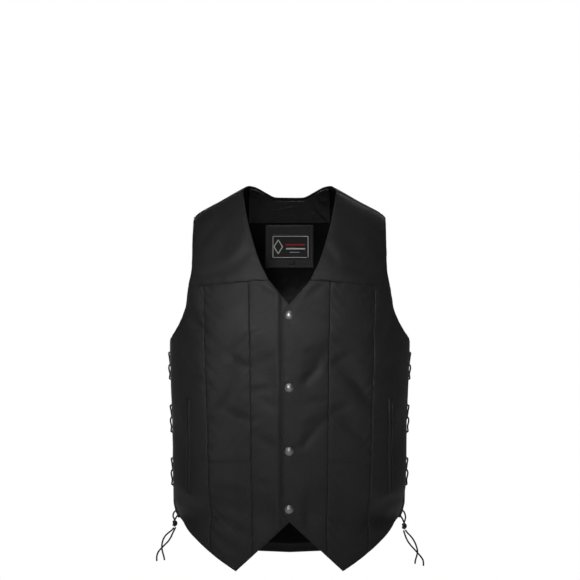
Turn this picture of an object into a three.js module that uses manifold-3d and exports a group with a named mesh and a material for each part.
import * as THREE from 'three';
import { mergeVertices } from 'three/addons/utils/BufferGeometryUtils.js';
import Module from 'manifold-3d';

// A laced-side vest, filled out as it is when worn. Millimetres, +Z up, the front faces -Y and the
// wearer's left is +X. The origin is on the shoulder ridge's centre line, level with the neck points.

const wasm = await Module();
wasm.setup();

// Cloth
const CLOTH = 2.0;
const LINING = 1.0;
const SEAM_GAP = 0.3;
const LINING_DEPTH = { front: 4.9, back: 5.6 };
const LINING_INSET = { armhole: 1.5, lacedEdge: 7, closing: 22, frontHem: 14, backHem: 16, shoulder: 3 };
const FACING_DEPTH = 8.5;
const LABEL_DEPTH = 10;
const LABEL_THICKNESS = 0.8;

// The body of the vest: a tube up to the chest level, closed over the shoulders above it
const CHEST_Z = -200;
const CHEST_TO_RIDGE = 250;
const FRONT_ROUNDNESS = 1.95;
const SHOULDER_ROUNDNESS = 1.7;

const BODY = [
  { z: -150, halfWidth: 212, frontDepth: 113, backDepth: 152, backRoundness: 3.2 },
  { z: -200, halfWidth: 212, frontDepth: 113, backDepth: 152, backRoundness: 3.2 },
  { z: -274, halfWidth: 218, frontDepth: 121, backDepth: 150, backRoundness: 2.8 },
  { z: -353, halfWidth: 215.5, frontDepth: 118, backDepth: 142, backRoundness: 2.5 },
  { z: -427, halfWidth: 213, frontDepth: 113, backDepth: 133, backRoundness: 2.35 },
  { z: -500, halfWidth: 212, frontDepth: 106, backDepth: 126, backRoundness: 2.3 },
  { z: -573, halfWidth: 210.5, frontDepth: 100, backDepth: 123, backRoundness: 2.3 },
  { z: -605, halfWidth: 202.5, frontDepth: 98, backDepth: 122, backRoundness: 2.3 },
  { z: -640, halfWidth: 197, frontDepth: 96, backDepth: 121, backRoundness: 2.3 },
  { z: -700, halfWidth: 193, frontDepth: 93, backDepth: 120, backRoundness: 2.3 },
];

const RIDGE = [
  { x: 0, z: 21, y: 0 },
  { x: 40, z: 15, y: 0 },
  { x: 74, z: 0, y: 0 },
  { x: 125, z: -28, y: 10 },
  { x: 165, z: -50, y: 17 },
  { x: 175, z: -58, y: 19 },
  { x: 190, z: -68, y: 21 },
];

// Edges and seams of the fronts, x counted from the centre line towards the piece's own side
const NECK_EDGE = [
  { z: 0, x: 85.5 },
  { z: -6, x: 84.5 },
  { z: -50, x: 77.5 },
  { z: -88, x: 69.4 },
  { z: -138, x: 54.7 },
  { z: -174, x: 38 },
];
const NECK_SIDE = { x: 60, z: -60 };
const NECK_TO_CENTRE_SLOPE = 1.16;
const FRONT_SEAMS = [
  { z: -174, inner: 73.4, outer: 156 },
  { z: -502, inner: 69.5, outer: 147 },
  { z: -700, inner: 66.5, outer: 142 },
];
const SEAMS_TURN = 40;
const YOKE_SEAM = { innerX: 38, innerZ: -174, outerX: 184, outerZ: -184.5 };
const SHOULDER_SEAM = { neckX: 84.5, neckRise: 219, tipX: 175, tipRise: 226, gap: 0.7 };
const OVERLAP_TOP = 12;
const OVERLAP_UNDER = 15;
const TUCK = { depth: 2.6, from: 36, to: 14 };
const HEM_TIP = { x: 96.7, z: -698, slope: 0.921 };

// Edges by turn, the angle round the body from the front centre, in degrees
const FRONT_HEM = [
  { turn: 30.6, z: -698 },
  { turn: 42.3, z: -675.7 },
  { turn: 51.3, z: -657.8 },
  { turn: 60.5, z: -640 },
  { turn: 70.8, z: -622 },
  { turn: 77.4, z: -611 },
  { turn: 84, z: -606 },
  { turn: 93, z: -603 },
  { turn: 98, z: -593 },
];
const BACK_HEM = [
  { turn: 109, z: -608 },
  { turn: 110.5, z: -620 },
  { turn: 115, z: -632 },
  { turn: 124, z: -648 },
  { turn: 145, z: -664 },
  { turn: 180, z: -671 },
];
const FRONT_SIDE_TURN = 98;
const BACK_SIDE_TURN = 109;

// Armholes, seen from straight in front: down from the shoulder tip, and round to the side edge
const FRONT_ARMHOLE = [
  { z: -58, x: 175 },
  { z: -146, x: 177 },
  { z: -185, x: 184 },
  { z: -209, x: 187 },
  { z: -238, x: 194.5 },
  { z: -262, x: 206.5 },
  { z: -276, x: 216 },
];
const FRONT_UNDERARM_Z = -286;
const BACK_ARMHOLE = [
  { z: -58, x: 175 },
  { z: -110, x: 179 },
  { z: -150, x: 181 },
  { z: -200, x: 182 },
  { z: -254, x: 191 },
  { z: -276, x: 202 },
  { z: -290, x: 213 },
];
const BACK_UNDERARM_Z = -297;
const BACK_NECK = [
  { x: 0, rise: 160 },
  { x: 25, rise: 164 },
  { x: 45, rise: 181 },
  { x: 62, rise: 210 },
  { x: 74, rise: 241 },
  { x: 84.5, rise: 280 },
];

// The broad folds: soft troughs, at a place seen from straight in front or behind
const FOLDS = [
  { face: 'front', x: 42, z: -330, length: 110, width: 17, lean: 42, depth: 2.2 },
  { face: 'front', x: 38, z: -452, length: 90, width: 15, lean: 40, depth: 1.8 },
  { face: 'front', x: -40, z: -345, length: 120, width: 22, lean: -68, depth: 1.6 },
  { face: 'front', x: 112, z: -345, length: 110, width: 18, lean: -48, depth: 2.4 },
  { face: 'front', x: 108, z: -425, length: 100, width: 17, lean: -40, depth: 2.0 },
  { face: 'front', x: -112, z: -350, length: 110, width: 19, lean: 50, depth: 2.2 },
  { face: 'front', x: -108, z: -440, length: 95, width: 17, lean: 42, depth: 1.8 },
  { face: 'front', x: 40, z: -590, length: 110, width: 24, lean: 70, depth: 2.2 },
  { face: 'front', x: -44, z: -600, length: 110, width: 24, lean: -66, depth: 2.0 },
  { face: 'front', x: 160, z: -590, length: 120, width: 20, lean: -30, depth: 2.4 },
  { face: 'front', x: -160, z: -585, length: 120, width: 20, lean: 32, depth: 2.4 },
  { face: 'front', x: 120, z: -120, length: 100, width: 20, lean: -55, depth: 1.8 },
  { face: 'front', x: -120, z: -118, length: 100, width: 20, lean: 58, depth: 1.8 },
  { face: 'back', x: -92, z: -430, length: 380, width: 40, lean: 86, depth: 2.4 },
  { face: 'back', x: 84, z: -450, length: 360, width: 38, lean: -87, depth: 2.3 },
  { face: 'back', x: 6, z: -560, length: 240, width: 36, lean: 88, depth: 2.2 },
  { face: 'back', x: 140, z: -215, length: 110, width: 20, lean: 28, depth: 2.4 },
  { face: 'back', x: -128, z: -206, length: 110, width: 24, lean: -30, depth: 1.2 },
  { face: 'back', x: -126, z: -592, length: 140, width: 28, lean: -50, depth: 1.4 },
  { face: 'back', x: 128, z: -598, length: 130, width: 27, lean: 48, depth: 1.6 },
];
const FLAT_PLACKET = { from: 14, to: 34 };

// What is on the cloth
const SNAPS = { z: [-238, -368, -482, -586], x: -0.7, diameter: 15.5, height: 4.2 };
const WELT = { x: 183, top: -387, bottom: -561, width: 16, thickness: 1.2, lean: 3 };
const WELT_SLIT = { width: 1.6, end: 12, cut: 6 };
const FACING_BOTTOM_Z = -61;
const LABEL_PATCH = { left: -45, right: 45, top: -64, bottom: -145 };
const LABEL = { left: -34, right: 38, top: -81, bottom: -128 };
const SIZE_TAB = { left: -4, right: 10, top: -130, bottom: -138.5 };

// Lacing
const EYELETS = { count: 7, top: -304, pitch: 48, inset: 4.6, hole: 3, radius: 3.9, wire: 0.9, lift: 0.5 };
const DRILL_LENGTH = 12;
const LACE = 3.0;
const LACE_SIDES = 8;
const KNOTS = [
  { side: -1, x: -209, y: 33, z: -615 },
  { side: 1, x: 209, y: 33, z: -620 },
];
const KNOT = { radius: 5.2, height: 15 };
const TAILS = [
  {
    side: -1,
    points: [
      [-210.5, 33.3, -623],
      [-214, 33, -627],
      [-219.5, 32, -631.5],
      [-225.5, 31, -637],
      [-229.5, 30, -643.5],
      [-231.8, 29.5, -651],
      [-232.4, 29, -659],
      [-231, 28.5, -667],
      [-228.8, 28, -675],
      [-227.4, 28, -682],
    ],
  },
  {
    side: -1,
    points: [
      [-207.6, 36, -622.6],
      [-210.5, 38, -628.5],
      [-213.5, 38.5, -634.5],
      [-216.5, 38.5, -641],
      [-221, 37.5, -647.8],
      [-227, 36.5, -654],
      [-233, 35.5, -660],
      [-238.5, 35, -666.5],
      [-241.5, 34.5, -674],
      [-241.8, 34, -684],
    ],
  },
  {
    side: 1,
    points: [
      [207.9, 33, -628],
      [210, 33, -634.5],
      [212.5, 32.5, -641.5],
      [216.5, 32, -649],
      [221.8, 31, -656],
      [228, 30, -662.8],
      [234, 29.5, -669.5],
      [239.5, 29, -676],
      [243.5, 28.5, -683],
      [244, 28.5, -692.5],
    ],
  },
  {
    side: 1,
    points: [
      [211.4, 35.4, -627.4],
      [215, 38, -632.5],
      [220, 38.5, -637.5],
      [224.8, 38.5, -643.5],
      [229, 38, -651],
      [232, 37.5, -659],
      [233.4, 37, -667],
      [231.8, 36.5, -675],
      [229.6, 36, -682.5],
      [228.8, 36, -689],
    ],
  },
];

const degrees = THREE.MathUtils.degToRad;
const blend = THREE.MathUtils.smoothstep;
const between = THREE.MathUtils.lerp;

/** A smooth curve through a table: column `to` against column `from`, with no overshoot. */
function through(table, from, to) {
  const rows = [...table].sort((one, other) => one[from] - other[from]);
  const last = rows.length - 1;
  const run = (i) => rows[i + 1][from] - rows[i][from];
  const slope = (i) => (rows[i + 1][to] - rows[i][to]) / run(i);
  const tangents = rows.map((row, i) => {
    const before = slope(Math.max(i - 1, 0));
    const after = slope(Math.min(i, last - 1));
    return before * after <= 0 ? 0 : (2 * before * after) / (before + after);
  });
  return (value) => {
    const at = THREE.MathUtils.clamp(value, rows[0][from], rows[last][from]);
    let i = 0;
    while (i < last - 1 && at > rows[i + 1][from]) i += 1;
    const t = (at - rows[i][from]) / run(i);
    const start = (1 + 2 * t) * (1 - t) ** 2 * rows[i][to];
    const end = t * t * (3 - 2 * t) * rows[i + 1][to];
    return start + end + run(i) * t * (1 - t) * ((1 - t) * tangents[i] - t * tangents[i + 1]);
  };
}

const halfWidth = through(BODY, 'z', 'halfWidth');
const frontDepth = through(BODY, 'z', 'frontDepth');
const backDepth = through(BODY, 'z', 'backDepth');
const backRoundness = through(BODY, 'z', 'backRoundness');
const ridgeHeight = through(RIDGE, 'x', 'z');
const ridgeBack = through(RIDGE, 'x', 'y');
const roundnessOf = (isFront, level) => (isFront ? FRONT_ROUNDNESS : backRoundness(level));

/** How far the body reaches forward or back of the ridge at x, on a level of the tube. */
function reach(x, level, isFront) {
  const roundness = roundnessOf(isFront, level);
  const inside = Math.max(1 - (Math.abs(x) / halfWidth(level)) ** roundness, 0) ** (1 / roundness);
  return isFront ? -frontDepth(level) * inside : backDepth(level) * inside;
}

/** The smooth body. `rise` is the height over the chest level, and above it the cloth's length upwards. */
function body(turn, rise) {
  const isFront = Math.cos(turn) >= 0;
  const level = CHEST_Z + Math.min(rise, 0);
  const power = 2 / roundnessOf(isFront, level);
  const x = Math.sign(Math.sin(turn)) * halfWidth(level) * Math.abs(Math.sin(turn)) ** power;
  const out = Math.abs(Math.cos(turn)) ** power;
  const y = isFront ? -frontDepth(level) * out : backDepth(level) * out;
  if (rise <= 0) return new THREE.Vector3(x, y, level);
  const lean = ((rise / CHEST_TO_RIDGE) * Math.PI) / 2;
  const up = Math.sin(lean) ** (2 / SHOULDER_ROUNDNESS);
  const across = Math.abs(Math.cos(lean)) ** (2 / SHOULDER_ROUNDNESS);
  const z = CHEST_Z + (ridgeHeight(Math.abs(x)) - CHEST_Z) * up;
  const away = rise > CHEST_TO_RIDGE ? reach(x, CHEST_Z, !isFront) : y;
  return new THREE.Vector3(x, away * across + ridgeBack(Math.abs(x)) * up, z);
}

/** The turn, in radians, at which the body is x from the centre line. */
function turnAt(x, z, isFront = true) {
  const roundness = roundnessOf(isFront, Math.min(z, CHEST_Z));
  const share = Math.min(Math.abs(x) / halfWidth(Math.min(z, CHEST_Z)), 1);
  const turn = Math.sign(x) * Math.asin(share ** (roundness / 2));
  return isFront ? turn : Math.PI - turn;
}

/** The rise of a height z above or below the chest level, at x. */
function riseAt(x, z) {
  if (z <= CHEST_Z) return z - CHEST_Z;
  const share = Math.min((z - CHEST_Z) / (ridgeHeight(Math.abs(x)) - CHEST_Z), 1);
  return (CHEST_TO_RIDGE * Math.asin(share ** (SHOULDER_ROUNDNESS / 2))) / (Math.PI / 2);
}

/** The height of a point of the body. */
const heightOf = (turn, rise) => body(turn, rise).z;

/** How deep the broad folds are at a point. */
function foldDepth(point, isFront) {
  const face = isFront ? 'front' : 'back';
  const smooth = blend(Math.abs(point.x), FLAT_PLACKET.from, FLAT_PLACKET.to);
  let depth = 0;
  for (const fold of FOLDS.filter((row) => row.face === face)) {
    const x = point.x - fold.x;
    const z = point.z - fold.z;
    const lean = degrees(fold.lean);
    const along = (x * Math.cos(lean) + z * Math.sin(lean)) / (fold.length / 2);
    const over = (z * Math.cos(lean) - x * Math.sin(lean)) / fold.width;
    depth += fold.depth * Math.exp(-over * over) * Math.exp(-along * along * 1.5);
  }
  return isFront ? depth * smooth : depth;
}

/** The outward direction of a surface given by a function of turn and rise. */
function outward(surface, turn, rise) {
  const step = 0.004;
  const round = surface(turn + step, rise).sub(surface(turn - step, rise));
  const upwards = surface(turn, rise + 1).sub(surface(turn, rise - 1));
  return round.cross(upwards).normalize();
}

/** The body with its folds. */
function drape(turn, rise) {
  const point = body(turn, rise);
  const depth = foldDepth(point, point.y < 0);
  return point.addScaledVector(outward(body, turn, rise), -depth);
}

/** How far the right front lies inwards, so that the left one closes over it. */
const noTuck = () => 0;
function tuckUnder(turn, rise) {
  return TUCK.depth * (1 - blend(-drape(turn, rise).x, TUCK.to, TUCK.from));
}

/** A point at a depth inside the outer face of the cloth, or inside the smooth body. */
function atDepth(turn, rise, depth, tuck = noTuck, surface = drape) {
  const point = surface(turn, rise);
  return point.addScaledVector(outward(surface, turn, rise), -depth - tuck(turn, rise));
}

/** A wall between two depths, through a grid of places on the body. */
function wall(grid, outerDepth, innerDepth, { mirrored = false, tuck = noTuck, surface = drape } = {}) {
  const rows = grid.length;
  const columns = grid[0].length;
  const count = rows * columns;
  const places = grid.flat();
  const layer = (depth) => places.map(({ turn, rise }) => atDepth(turn, rise, depth, tuck, surface));
  const points = [...layer(outerDepth), ...layer(innerDepth)];
  const index = [];
  const quad = (a, b, c, d) => index.push(...(mirrored ? [a, c, b, a, d, c] : [a, b, c, a, c, d]));
  const id = (row, column) => row * columns + column;
  for (let row = 0; row < rows - 1; row += 1) {
    for (let column = 0; column < columns - 1; column += 1) {
      const corners = [id(row, column), id(row, column + 1), id(row + 1, column + 1), id(row + 1, column)];
      quad(...corners);
      quad(...corners.reverse().map((corner) => corner + count));
    }
  }
  const rim = [];
  for (let column = 0; column < columns - 1; column += 1) rim.push(id(0, column));
  for (let row = 0; row < rows - 1; row += 1) rim.push(id(row, columns - 1));
  for (let column = columns - 1; column > 0; column -= 1) rim.push(id(rows - 1, column));
  for (let row = rows - 1; row > 0; row -= 1) rim.push(id(row, 0));
  rim.forEach((from, i) => {
    const to = rim[(i + 1) % rim.length];
    quad(from, from + count, to + count, to);
  });
  const geometry = new THREE.BufferGeometry().setFromPoints(points);
  geometry.setIndex(index);
  return geometry;
}

/** Shares from 0 to 1 with a line at each break, and so many steps before each. */
function shares(breaks, steps) {
  const list = [0];
  breaks.forEach((end, i) => {
    const start = i ? breaks[i - 1] : 0;
    for (let step = 1; step <= steps[i]; step += 1) list.push(between(start, end, step / steps[i]));
  });
  return list;
}

/**
 * The grid of a panel with four edges: `inner` and `outer` give the turn at a rise, and `bottom` and
 * `top` the rise at a turn. Its columns run between inner and outer, from the shares `across` at the
 * bottom to the shares `acrossTop` at the top, and its rows between bottom and top.
 */
function panel({ inner, outer, bottom, top, across, acrossTop = across, up, side = 1 }) {
  const turnOn = (share, rise) => between(inner(rise), outer(rise), share);
  const settle = (share, edge, start) => {
    let rise = start;
    for (let i = 0; i < 12; i += 1) rise = between(rise, edge(turnOn(share, rise)), 0.7);
    return rise;
  };
  return up.map((height) =>
    across.map((share, column) => {
      const low = settle(share, bottom, -400);
      const high = settle(acrossTop[column], top, 0);
      const rise = between(low, high, height);
      return { turn: side * turnOn(between(share, acrossTop[column], height), rise), rise };
    }),
  );
}

const widthAt = (turn, rise) => Math.abs(body(turn, rise).x);

/** The turn of an armhole's edge, in degrees, at a rise. */
function armhole(table, isFront, underarm) {
  const rows = table.map(({ z, x }) => {
    return { rise: riseAt(x, z), turn: THREE.MathUtils.radToDeg(turnAt(x, z, isFront)) };
  });
  return through([...rows, underarm], 'rise', 'turn');
}

const frontUnderarm = { rise: FRONT_UNDERARM_Z - CHEST_Z, turn: FRONT_SIDE_TURN };
const backUnderarm = { rise: BACK_UNDERARM_Z - CHEST_Z, turn: BACK_SIDE_TURN };
const frontArmhole = armhole(FRONT_ARMHOLE, true, frontUnderarm);
const backArmhole = armhole(BACK_ARMHOLE, false, backUnderarm);
const neckX = through(NECK_EDGE, 'z', 'x');
const innerSeamX = through(FRONT_SEAMS, 'z', 'inner');
const outerSeamX = through(FRONT_SEAMS, 'z', 'outer');
const frontHem = through(FRONT_HEM, 'turn', 'z');
const backHem = through(BACK_HEM, 'turn', 'z');
const backNeck = through(BACK_NECK, 'x', 'rise');

/** The turn of the front's neck edge, and below it of the closing edge that reaches past the centre. */
function neckTurn(overlap) {
  return (rise) => {
    const near = turnAt(NECK_SIDE.x, NECK_SIDE.z);
    const z = heightOf(near, rise);
    const low = NECK_EDGE[NECK_EDGE.length - 1];
    const straight = low.x - (low.z - z) / NECK_TO_CENTRE_SLOPE;
    const x = z > low.z ? neckX(z) : Math.max(straight, -overlap);
    return turnAt(x, z);
  };
}

/** The turn of an upright seam, moved by a gap. */
const seamTurn = (seamX, gap) => (rise) => {
  const z = heightOf(degrees(SEAMS_TURN), rise);
  return turnAt(seamX(z) + gap, z);
};

const frontOuterTurn = (rise) => degrees(frontArmhole(rise));
const backOuterTurn = (rise) => degrees(backArmhole(rise));

/** The rise of the fronts' hem: straight lines up from the tip to the centre, and a curve to the side. */
function frontHemRise(turn) {
  if (turn > degrees(FRONT_HEM[0].turn)) return frontHem(THREE.MathUtils.radToDeg(turn)) - CHEST_Z;
  let z = HEM_TIP.z;
  for (let i = 0; i < 6; i += 1) {
    const x = body(turn, z - CHEST_Z).x;
    z = HEM_TIP.z + (HEM_TIP.x - x) * HEM_TIP.slope;
  }
  return z - CHEST_Z;
}

const backHemRise = (turn) => backHem(180 - Math.abs(180 - THREE.MathUtils.radToDeg(turn))) - CHEST_Z;

/** The rise of the seam under the yoke, moved by a gap. */
const yokeSeamRise = (gap) => (turn) => {
  const x = widthAt(turn, 0);
  const share = (x - YOKE_SEAM.innerX) / (YOKE_SEAM.outerX - YOKE_SEAM.innerX);
  return riseAt(x, between(YOKE_SEAM.innerZ, YOKE_SEAM.outerZ, share)) + gap;
};

/** The rise of the shoulder seam, on the front of the ridge. */
function shoulderSeamRise(turn) {
  const share = (widthAt(turn, 1) - SHOULDER_SEAM.neckX) / (SHOULDER_SEAM.tipX - SHOULDER_SEAM.neckX);
  return between(SHOULDER_SEAM.neckRise, SHOULDER_SEAM.tipRise, share);
}

/** The rise of the back's top edge: over the ridge to the shoulder seams, and down round the neck. */
function backTopRise(turn) {
  const x = widthAt(turn, 1);
  const seam = 2 * CHEST_TO_RIDGE - shoulderSeamRise(turn) - SHOULDER_SEAM.gap;
  return x > SHOULDER_SEAM.neckX ? seam : Math.min(backNeck(x), seam);
}

/** A solid from a closed mesh. */
function solid(geometry) {
  const bare = geometry.clone();
  bare.deleteAttribute('normal');
  bare.deleteAttribute('uv');
  const merged = mergeVertices(bare, 1e-4);
  const mesh = new wasm.Mesh({
    numProp: 3,
    vertProperties: new Float32Array(merged.attributes.position.array),
    triVerts: new Uint32Array(merged.index.array),
  });
  return new wasm.Manifold(mesh);
}

/** A mesh without the solids that are cut from it. */
function cut(geometry, tools) {
  let result = solid(geometry);
  for (const tool of tools) result = result.subtract(solid(tool));
  const mesh = result.getMesh();
  const cutGeometry = new THREE.BufferGeometry();
  cutGeometry.setAttribute('position', new THREE.BufferAttribute(new Float32Array(mesh.vertProperties), 3));
  cutGeometry.setIndex([...mesh.triVerts]);
  return cutGeometry;
}

/** Turns geometry made round +Y so that +Y points out of the cloth at a place. */
function stand(geometry, turn, rise, height, tuck = noTuck) {
  const out = outward(drape, turn, rise);
  const spin = new THREE.Quaternion().setFromUnitVectors(new THREE.Vector3(0, 1, 0), out);
  const place = atDepth(turn, rise, -height, tuck);
  return geometry.applyQuaternion(spin).translate(place.x, place.y, place.z);
}

const eyeletRise = (number) => EYELETS.top - EYELETS.pitch * number - CHEST_Z;
const eyeletTurn = (side, edge) =>
  side * degrees(edge === 'front' ? FRONT_SIDE_TURN - EYELETS.inset : BACK_SIDE_TURN + EYELETS.inset);

/** The round holes of one laced edge. */
function eyeletHoles(side, edge) {
  const holes = [];
  for (let number = 0; number < EYELETS.count; number += 1) {
    const drill = new THREE.CylinderGeometry(EYELETS.hole, EYELETS.hole, DRILL_LENGTH, 6);
    holes.push(stand(drill, eyeletTurn(side, edge), eyeletRise(number), 0));
  }
  return holes;
}

const materials = {
  cloth: new THREE.MeshStandardMaterial({ color: 0x26262a, roughness: 0.72, metalness: 0 }),
  yoke: new THREE.MeshStandardMaterial({ color: 0x222225, roughness: 0.68, metalness: 0 }),
  lining: new THREE.MeshStandardMaterial({ color: 0x0c0c0d, roughness: 0.4, metalness: 0 }),
  facing: new THREE.MeshStandardMaterial({ color: 0x101011, roughness: 0.5, metalness: 0 }),
  patch: new THREE.MeshStandardMaterial({ color: 0x1c1c1e, roughness: 0.7, metalness: 0 }),
  label: new THREE.MeshStandardMaterial({ color: 0x070707, roughness: 0.6, metalness: 0 }),
  pewter: new THREE.MeshStandardMaterial({ color: 0x8c8c8a, roughness: 0.38, metalness: 1 }),
  darkMetal: new THREE.MeshStandardMaterial({ color: 0x3a3a3c, roughness: 0.35, metalness: 1 }),
  lace: new THREE.MeshStandardMaterial({ color: 0x0f0f10, roughness: 0.45, metalness: 0 }),
};

const vest = new THREE.Group();

/** Adds a named sub-part with a material of its own. */
function add(name, geometry, material) {
  const mesh = new THREE.Mesh(geometry, material.clone());
  mesh.name = name;
  vest.add(mesh);
}

/** How far a lining's edge lies inside the armhole's edge and, below it, the laced edge. */
function liningInset(rise) {
  const below = blend(-rise, 55, 95);
  return degrees(between(LINING_INSET.armhole, LINING_INSET.lacedEdge, below));
}

const FRONT_ROWS = shares([0.77, 1], [11, 4]);
const HALF_GAP = SEAM_GAP / 2;

/** The pieces of one front. */
function addFront(name, side, overlap, tuck) {
  const options = { mirrored: side < 0, tuck };
  const lowerTop = yokeSeamRise(-HALF_GAP);
  const yoke = panel({
    inner: neckTurn(overlap),
    outer: frontOuterTurn,
    bottom: yokeSeamRise(HALF_GAP),
    top: (turn) => shoulderSeamRise(turn) - SHOULDER_SEAM.gap,
    across: shares([1], [6]),
    up: shares([1], [9]),
    side,
  });
  add(`yoke_${name}`, wall(yoke, 0, CLOTH, options), materials.yoke);
  const centre = panel({
    inner: neckTurn(overlap),
    outer: seamTurn(innerSeamX, -HALF_GAP),
    bottom: frontHemRise,
    top: lowerTop,
    across: shares([1], [5]),
    up: shares([0.872, 1], [12, 4]),
    side,
  });
  add(`centre_front_${name}`, wall(centre, 0, CLOTH, options), materials.cloth);
  const middle = panel({
    inner: seamTurn(innerSeamX, HALF_GAP),
    outer: seamTurn(outerSeamX, -HALF_GAP),
    bottom: frontHemRise,
    top: lowerTop,
    across: shares([0.36, 1], [2, 3]),
    up: FRONT_ROWS,
    side,
  });
  add(`middle_front_${name}`, wall(middle, 0, CLOTH, options), materials.cloth);
  const outer = panel({
    inner: seamTurn(outerSeamX, HALF_GAP),
    outer: frontOuterTurn,
    bottom: frontHemRise,
    top: lowerTop,
    across: shares([0.85, 1], [4, 2]),
    up: shares([0.75, 1], [9, 7]),
    side,
  });
  const holes = eyeletHoles(side, 'front');
  add(`side_front_${name}`, cut(wall(outer, 0, CLOTH, options), holes), materials.cloth);
  const inside = panel({
    inner: (rise) => Math.max(neckTurn(0)(rise), 0) + turnAt(LINING_INSET.closing, -300),
    outer: (rise) => frontOuterTurn(rise) - liningInset(rise),
    bottom: (turn) => frontHemRise(turn) + LINING_INSET.frontHem,
    top: (turn) => shoulderSeamRise(turn) - LINING_INSET.shoulder,
    across: shares([1], [8]),
    up: shares([0.5, 1], [8, 11]),
    side,
  });
  const smooth = { ...options, surface: body };
  const frontInside = wall(inside, LINING_DEPTH.front, LINING_DEPTH.front + LINING, smooth);
  add(`lining_front_${name}`, frontInside, materials.lining);
}

addFront('right', -1, OVERLAP_UNDER, tuckUnder);
addFront('left', 1, OVERLAP_TOP, noTuck);

/** The back's grid, whole: its right half is the left half's mirror. */
function backGrid({ edge, hem, top, up }) {
  const tip = Math.PI - turnAt(BACK_ARMHOLE[0].x, 0, false);
  const half = panel({
    inner: () => Math.PI,
    outer: (rise) => backOuterTurn(rise) + edge(rise),
    bottom: (turn) => backHemRise(turn) + hem,
    top: (turn) => backTopRise(turn) - top,
    across: BACK_COLUMNS.map((x, i) => i / (BACK_COLUMNS.length - 1)),
    acrossTop: BACK_COLUMNS.map((x) => (Math.PI - turnAt(x, 0, false)) / tip),
    up,
  });
  return half.map((row) => {
    const left = [...row].reverse();
    const right = row.slice(1).map(({ turn, rise }) => ({ turn: 2 * Math.PI - turn, rise }));
    return [...left, ...right];
  });
}

// The back's columns where they end at the neck and the shoulder seam, closest where the neck curves up
const BACK_COLUMNS = [0, 30, 52, 66, 76, 84.6, 108, 132, 154, 175];
const back = backGrid({ edge: () => 0, hem: 0, top: 0, up: shares([0.44, 0.88, 1], [8, 9, 5]) });
const backHoles = [...eyeletHoles(1, 'back'), ...eyeletHoles(-1, 'back')];
add('back', cut(wall(back, 0, CLOTH), backHoles), materials.cloth);

const backLining = backGrid({
  edge: liningInset,
  hem: LINING_INSET.backHem,
  top: LINING_INSET.shoulder,
  up: shares([0.44, 0.78, 1], [6, 8, 8]),
});
const smooth = { surface: body };
const backInside = wall(backLining, LINING_DEPTH.back, LINING_DEPTH.back + LINING, smooth);
add('lining_back', backInside, materials.lining);

/** The grid of a piece inside the back neck, given as seen from in front. */
function insideBack({ left, right, bottom, top, columns, rows }) {
  const grid = [];
  for (let row = 0; row <= rows; row += 1) {
    const line = [];
    for (let column = 0; column <= columns; column += 1) {
      const x = between(right, left, column / columns);
      const low = riseAt(x, bottom);
      const high = typeof top === 'function' ? top(x) : riseAt(x, top);
      line.push({ turn: turnAt(x, 0, false), rise: between(low, high, row / rows) });
    }
    grid.push(line);
  }
  return grid;
}

const facing = insideBack({
  left: -76,
  right: 76,
  bottom: FACING_BOTTOM_Z,
  top: (x) => backNeck(Math.abs(x)) - 2,
  columns: 12,
  rows: 5,
});
add('neck_facing', wall(facing, FACING_DEPTH, FACING_DEPTH + LINING, smooth), materials.facing);
const patch = insideBack({ ...LABEL_PATCH, columns: 5, rows: 4 });
add('label_patch', wall(patch, FACING_DEPTH, FACING_DEPTH + LINING, smooth), materials.patch);
const label = insideBack({ ...LABEL, columns: 4, rows: 3 });
add('label', wall(label, LABEL_DEPTH, LABEL_DEPTH + LABEL_THICKNESS, smooth), materials.label);
const sizeTab = insideBack({ ...SIZE_TAB, columns: 1, rows: 1 });
add('size_tab', wall(sizeTab, LABEL_DEPTH, LABEL_DEPTH + LABEL_THICKNESS, smooth), materials.label);

/** A strip along a welt pocket, so wide, that leans and stops short of the pocket's ends. */
function weltGrid(side, width, short, lean, rows) {
  const grid = [];
  for (let row = 0; row <= rows; row += 1) {
    const z = between(WELT.bottom + short, WELT.top - short, row / rows);
    const middle = turnAt(WELT.x, z) + (lean * (row / rows - 0.5)) / halfWidth(z);
    const spread = width / 2 / body(middle, z - CHEST_Z).setZ(0).length();
    const turns = [middle - spread, middle + spread];
    grid.push(turns.map((turn) => ({ turn: side * turn, rise: z - CHEST_Z })));
  }
  return grid;
}

for (const [name, side] of [
  ['right', -1],
  ['left', 1],
]) {
  const options = { mirrored: side < 0 };
  const bottom = -SEAM_GAP;
  const strip = wall(weltGrid(side, WELT.width, 0, 0, 10), bottom - WELT.thickness, bottom, options);
  const slitGrid = weltGrid(side, WELT_SLIT.width, WELT_SLIT.end, WELT.lean, 6);
  const slit = wall(slitGrid, -WELT_SLIT.cut, WELT_SLIT.cut, options);
  add(`welt_${name}`, cut(strip, [slit]), materials.cloth);
}

/** A domed snap cap, its flat back just off the cloth. */
function snapCap() {
  const radius = SNAPS.diameter / 2;
  const profile = [
    [0, 0],
    [radius * 0.9, 0],
    [radius, 0.9],
    [radius * 0.86, SNAPS.height * 0.55],
    [radius * 0.5, SNAPS.height * 0.9],
    [0, SNAPS.height],
  ];
  return new THREE.LatheGeometry(profile.map(([r, h]) => new THREE.Vector2(r, h)), 14);
}

SNAPS.z.forEach((z, i) => {
  const cap = stand(snapCap(), turnAt(SNAPS.x, z), z - CHEST_Z, SEAM_GAP);
  add(`snap_${i + 1}`, cap, materials.pewter);
});

/** An eyelet's ring, just off the cloth. */
function eyeletRing() {
  const profile = [
    [EYELETS.radius - EYELETS.wire, 0],
    [EYELETS.radius + EYELETS.wire, 0],
    [EYELETS.radius, EYELETS.wire],
    [EYELETS.radius - EYELETS.wire, 0],
  ];
  return new THREE.LatheGeometry(profile.map(([r, h]) => new THREE.Vector2(r, h)), 8);
}

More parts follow.
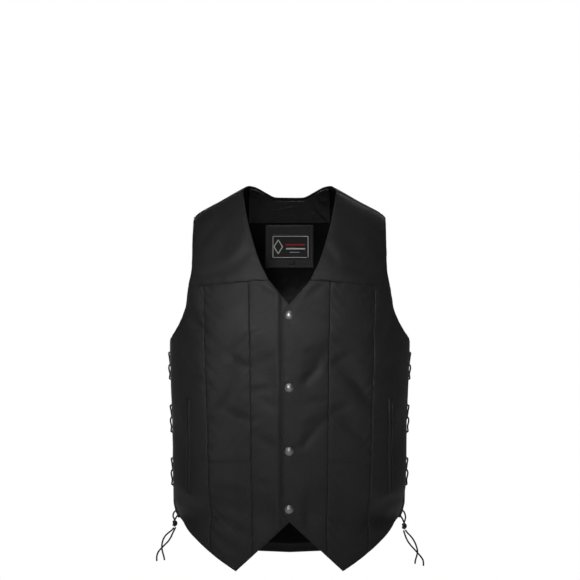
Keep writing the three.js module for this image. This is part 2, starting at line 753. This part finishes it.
for (const [name, side] of [
  ['right', -1],
  ['left', 1],
]) {
  for (const edge of ['front', 'back']) {
    for (let number = 0; number < EYELETS.count; number += 1) {
      const ring = stand(eyeletRing(), eyeletTurn(side, edge), eyeletRise(number), EYELETS.lift);
      add(`eyelet_${name}_${edge}_${number + 1}`, ring, materials.darkMetal);
    }
  }
}

/** A path whose steps are the points of a list. */
class Route extends THREE.Curve {
  constructor(points) {
    super();
    this.points = points;
  }

  getPoint(t, target = new THREE.Vector3()) {
    const last = this.points.length - 1;
    const i = Math.min(Math.floor(t * last + 1e-9), last - 1);
    return target.lerpVectors(this.points[i], this.points[i + 1], t * last - i);
  }

  getPointAt(share, target) {
    return this.getPoint(share, target);
  }

  getTangentAt(share, target = new THREE.Vector3()) {
    const last = this.points.length - 1;
    const i = Math.round(share * last);
    const before = this.points[Math.max(i - 1, 0)];
    const after = this.points[Math.min(i + 1, last)];
    return target.subVectors(after, before).normalize();
  }
}

/** A round cord along the points of a list. */
function cord(points) {
  const circle = new THREE.Shape();
  for (let i = 0; i < LACE_SIDES; i += 1) {
    const angle = (i / LACE_SIDES) * 2 * Math.PI;
    const x = (LACE / 2) * Math.cos(angle);
    const y = (LACE / 2) * Math.sin(angle);
    if (i) circle.lineTo(x, y);
    else circle.moveTo(x, y);
  }
  circle.closePath();
  const options = { steps: points.length - 1, extrudePath: new Route(points), bevelEnabled: false };
  return new THREE.ExtrudeGeometry(circle, options);
}

const LACE_OUT = { mouth: 2.6, near: 3.6, lowCross: 5.5, highCross: 9.2 };
const LACE_IN = { mouth: 4.8, near: 5.6, lowCross: 6.5, highCross: 10.2 };
const LACE_SHARES = { mouth: 0.004, near: 0.2 };

/** The lace's points from one eyelet to the next, outside or inside the cloth. */
function span(side, from, to, isOutside, isHigh) {
  const height = isOutside ? LACE_OUT : LACE_IN;
  const cross = isHigh ? height.highCross : height.lowCross;
  const stations = [
    [LACE_SHARES.mouth, height.mouth],
    [LACE_SHARES.near, height.near],
    [0.5, cross],
    [1 - LACE_SHARES.near, height.near],
    [1 - LACE_SHARES.mouth, height.mouth],
  ];
  return stations.map(([share, away]) => {
    const turn = between(eyeletTurn(side, from.edge), eyeletTurn(side, to.edge), share);
    const rise = between(eyeletRise(from.number), eyeletRise(to.number), share);
    return atDepth(turn, rise, isOutside ? -away : away);
  });
}

/** The whole lace of one side, from its knot up one zigzag, over the top bar and down the other. */
function laceRoute(side, knot) {
  const other = { front: 'back', back: 'front' };
  const stops = [];
  let edge = 'front';
  for (let number = EYELETS.count - 1; number >= 0; number -= 1) {
    stops.push({ edge, number });
    edge = other[edge];
  }
  stops.push({ edge, number: 0 });
  for (let number = 1; number < EYELETS.count; number += 1) {
    edge = other[edge];
    stops.push({ edge, number });
  }
  const points = [];
  const lastStop = stops.length - 1;
  for (let i = 0; i < lastStop; i += 1) {
    const lowest = Math.max(stops[i].number, stops[i + 1].number);
    const isBar = stops[i].number === stops[i + 1].number;
    const isOutside = !isBar && lowest % 2 === 1;
    points.push(...span(side, stops[i], stops[i + 1], isOutside, i > lastStop / 2));
  }
  const lead = (stop, lift) => {
    const from = atDepth(eyeletTurn(side, stop.edge), eyeletRise(stop.number), -LACE_OUT.mouth);
    const sign = stop.edge === 'front' ? -1 : 1;
    const target = new THREE.Vector3(knot.x, knot.y + sign * 2.2, knot.z + KNOT.height / 2 + SEAM_GAP);
    const halfway = from.clone().lerp(target, 0.5);
    halfway.x += side * lift;
    return [from, halfway, target];
  };
  return [...lead(stops[0], 3).reverse(), ...points, ...lead(stops[lastStop], 3)];
}

for (const knot of KNOTS) {
  const name = knot.side < 0 ? 'right' : 'left';
  add(`lace_${name}`, cord(laceRoute(knot.side, knot)), materials.lace);
  const profile = [
    [0, -1],
    [0.62, -0.86],
    [1, -0.42],
    [0.82, 0],
    [1, 0.42],
    [0.62, 0.86],
    [0, 1],
  ].map(([r, h]) => new THREE.Vector2(r * KNOT.radius, (h * KNOT.height) / 2));
  const shape = new THREE.LatheGeometry(profile, 10).rotateX(Math.PI / 2);
  add(`lace_knot_${name}`, shape.translate(knot.x, knot.y, knot.z), materials.lace);
}

TAILS.forEach((tail, i) => {
  const name = tail.side < 0 ? 'right' : 'left';
  const points = tail.points.map((point) => new THREE.Vector3(...point));
  add(`lace_tail_${name}_${(i % 2) + 1}`, cord(points), materials.lace);
});

export default vest;
